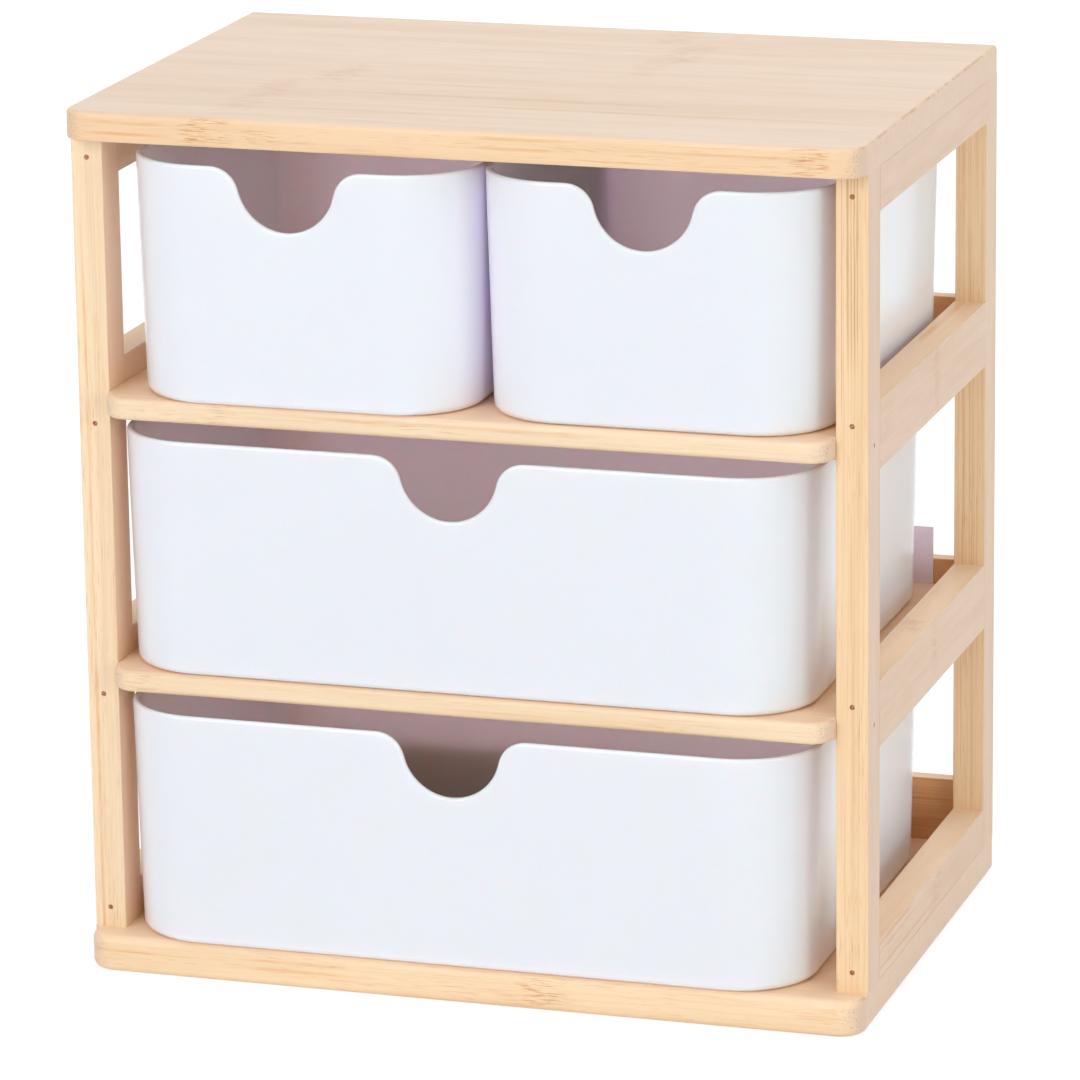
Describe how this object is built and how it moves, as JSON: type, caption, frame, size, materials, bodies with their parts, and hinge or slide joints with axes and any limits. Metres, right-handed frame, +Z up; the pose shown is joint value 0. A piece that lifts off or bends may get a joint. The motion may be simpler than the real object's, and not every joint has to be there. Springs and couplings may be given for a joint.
{
  "type": "desktop mini drawers",
  "caption": "Small desktop drawer unit: an open bamboo frame with loose white plastic drawers that slide out by finger notches.",
  "frame": {"origin": "centre of the base board's underside, which rests on the desk", "axes": "+Z up, -Y towards the front that the drawers open to, +X to the right as seen from the front"},
  "size_m": [0.274, 0.19, 0.3],
  "materials": {
    "bamboo": "clear matt lacquer on pale natural bamboo",
    "drawer_plastic": "smooth moulded white, soft gloss",
    "steel": "small dark brad heads",
    "card": "matt, bare"
  },
  "bodies": {
    "frame": {"top_board": "bamboo", "base_board": "bamboo", "upper_shelf": "bamboo", "lower_shelf": "bamboo", "front_left_post": "bamboo", "front_right_post": "bamboo", "rear_left_post": "bamboo", "rear_right_post": "bamboo", "left_top_rail": "bamboo", "left_upper_rail": "bamboo", "left_lower_rail": "bamboo", "left_base_rail": "bamboo", "right_top_rail": "bamboo", "right_upper_rail": "bamboo", "right_lower_rail": "bamboo", "right_base_rail": "bamboo", "upper_back_strip": "bamboo", "lower_back_strip": "bamboo", "base_back_strip": "bamboo", "front_brads": "steel", "rear_brads": "steel", "side_brads": "steel", "blank_tag": "card"},
    "drawer_top_left": {"drawer_top_left": "drawer_plastic"},
    "drawer_top_right": {"drawer_top_right": "drawer_plastic"},
    "drawer_middle": {"drawer_middle": "drawer_plastic"},
    "drawer_bottom": {"drawer_bottom": "drawer_plastic"}
  },
  "joints": [
    {"name": "top_left_slide", "type": "slide", "parent": "frame", "child": "drawer_top_left", "axis": [0, -1, 0], "range_m": [-0.0025, 0.14]},
    {"name": "top_right_slide", "type": "slide", "parent": "frame", "child": "drawer_top_right", "axis": [0, -1, 0], "range_m": [0, 0.14]},
    {"name": "middle_slide", "type": "slide", "parent": "frame", "child": "drawer_middle", "axis": [0, -1, 0], "range_m": [0, 0.14]},
    {"name": "bottom_slide", "type": "slide", "parent": "frame", "child": "drawer_bottom", "axis": [0, -1, 0], "range_m": [-0.002, 0.14]}
  ]
}
